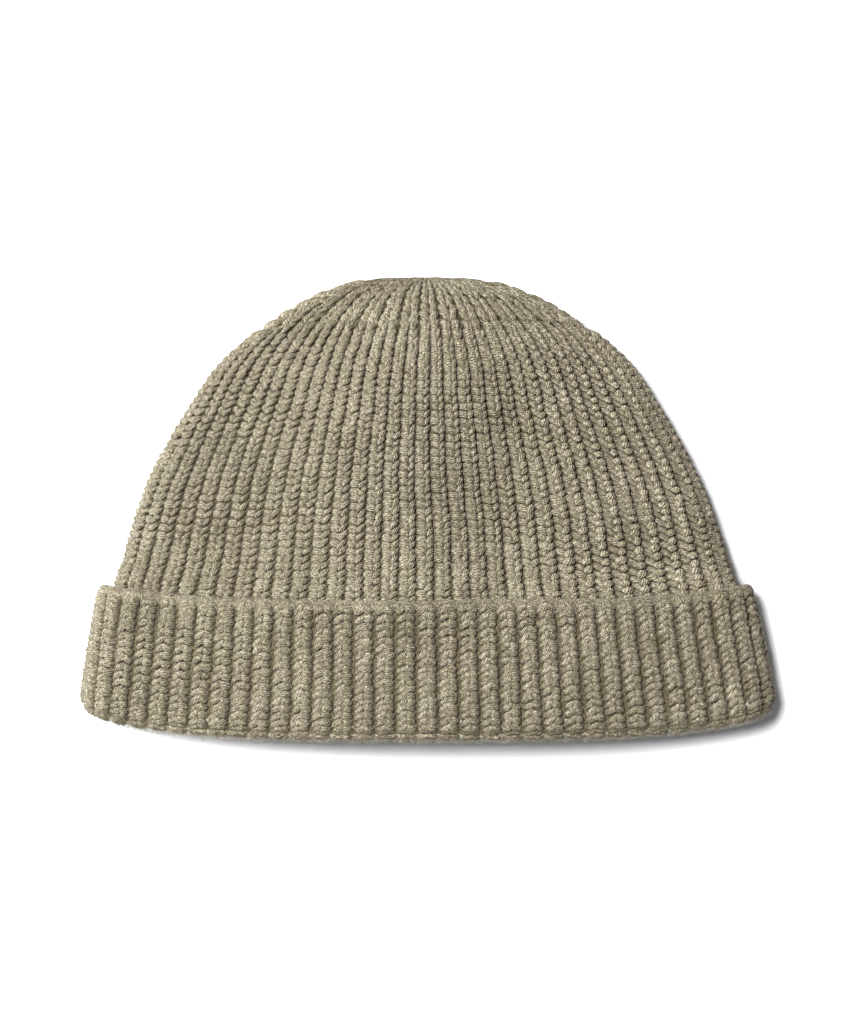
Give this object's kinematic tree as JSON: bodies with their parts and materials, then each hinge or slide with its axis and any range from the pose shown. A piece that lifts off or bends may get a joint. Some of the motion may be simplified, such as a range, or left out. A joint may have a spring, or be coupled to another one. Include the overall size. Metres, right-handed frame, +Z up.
{
  "type": "watch cap",
  "caption": "Short ribbed wool knit cap with a gathered top and a deep turned-up cuff, lying flat on its back, open for the head.",
  "frame": {"origin": "middle of the bottom of the cap's box, on the surface that the cap lies on", "axes": "+X from side to side, +Y from the opening for the head towards the gathered top, +Z up from the cap's back to its front"},
  "size_m": [0.2401, 0.1606, 0.0454],
  "materials": {
    "body_wool": "fuzzy worsted wool yarn, khaki, knitted in 1x1 rib",
    "cuff_wool": "fuzzy worsted wool yarn, khaki, knitted in 1x1 rib and turned up"
  },
  "bodies": {
    "root": {"crown": "body_wool", "cuff": "cuff_wool"}
  },
  "joints": []
}
